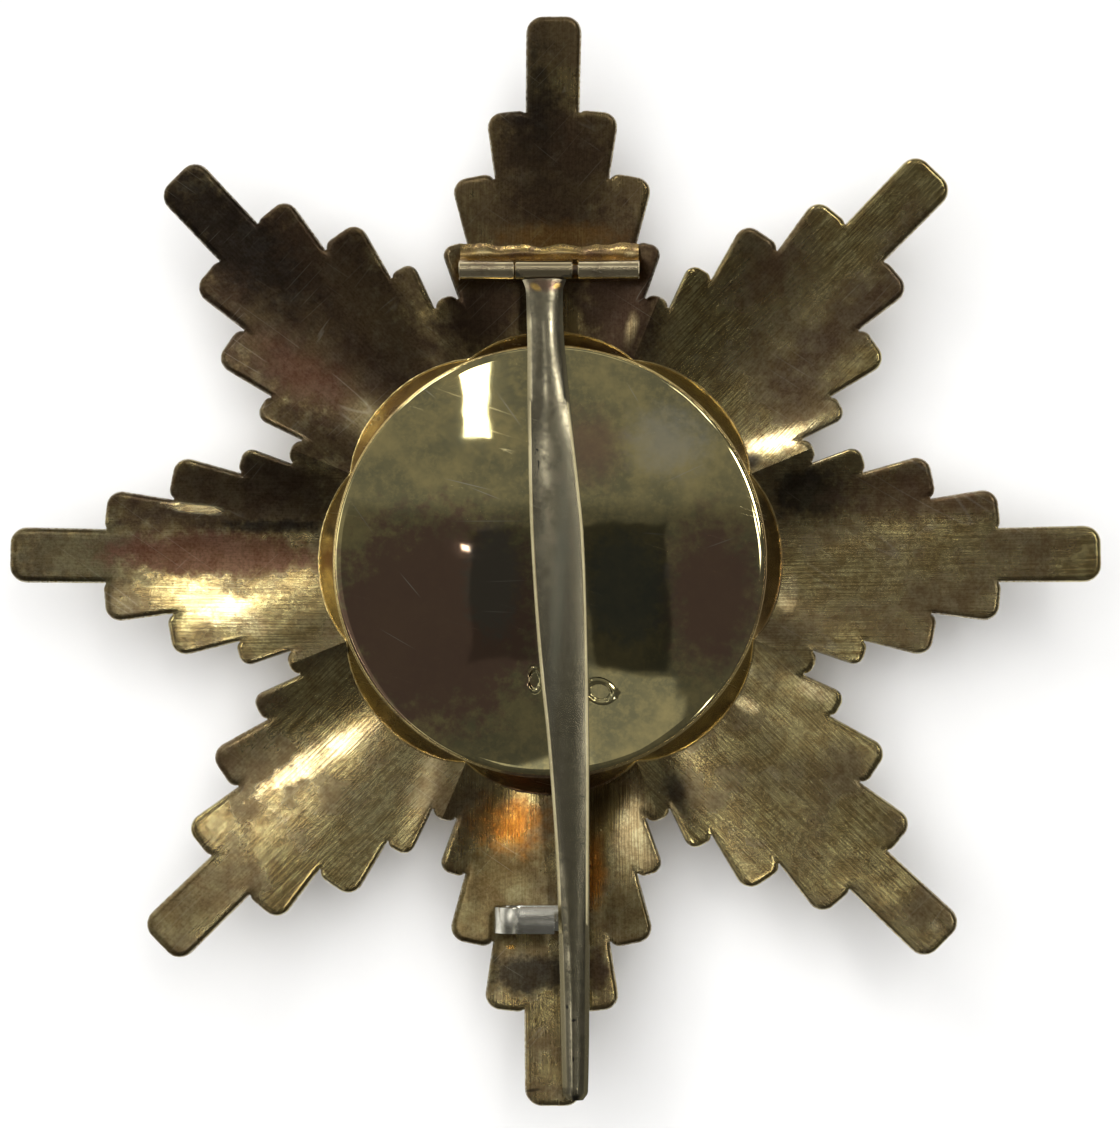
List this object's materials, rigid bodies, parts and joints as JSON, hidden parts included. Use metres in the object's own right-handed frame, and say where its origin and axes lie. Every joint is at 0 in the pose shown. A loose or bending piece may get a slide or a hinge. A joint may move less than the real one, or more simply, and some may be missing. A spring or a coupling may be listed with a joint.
{
  "type": "breast star",
  "caption": "Stepped-ray breast star lying on its face, hollow-backed arms, domed back cover, hinged brooch pin and open hook catch.",
  "frame": {"origin": "centre of the star, on the plane of the front bezel's rim that it rests on", "axes": "+Z out of the star's back, +Y along the arm that carries the hinge, +X to the right seen from the back"},
  "size_m": [0.085, 0.085, 0.0121],
  "materials": {
    "gilt_silver": "worn satin, tarnished dark in places",
    "gilt_cover": "burnished, finely scratched and tarnished",
    "pin_silver": "worn grey silver with pits",
    "hook_silver": "smooth grey silver, slightly dented",
    "front_gilt": "plain polished gilt"
  },
  "bodies": {
    "star": {"star_plate": "gilt_silver", "back_cover": "gilt_cover", "medallion_ring": "front_gilt", "medallion": "front_gilt", "hinge_barrel": "gilt_silver", "hinge_rivet": "pin_silver", "catch_hook": "hook_silver"},
    "pin": {"brooch_pin": "pin_silver"}
  },
  "joints": [
    {"name": "pin_hinge", "type": "hinge", "parent": "star", "child": "pin", "pos_m": [-0.00056, 0.0224, 0.0093], "axis": [-1, 0, 0], "range_deg": [0, 150]}
  ]
}
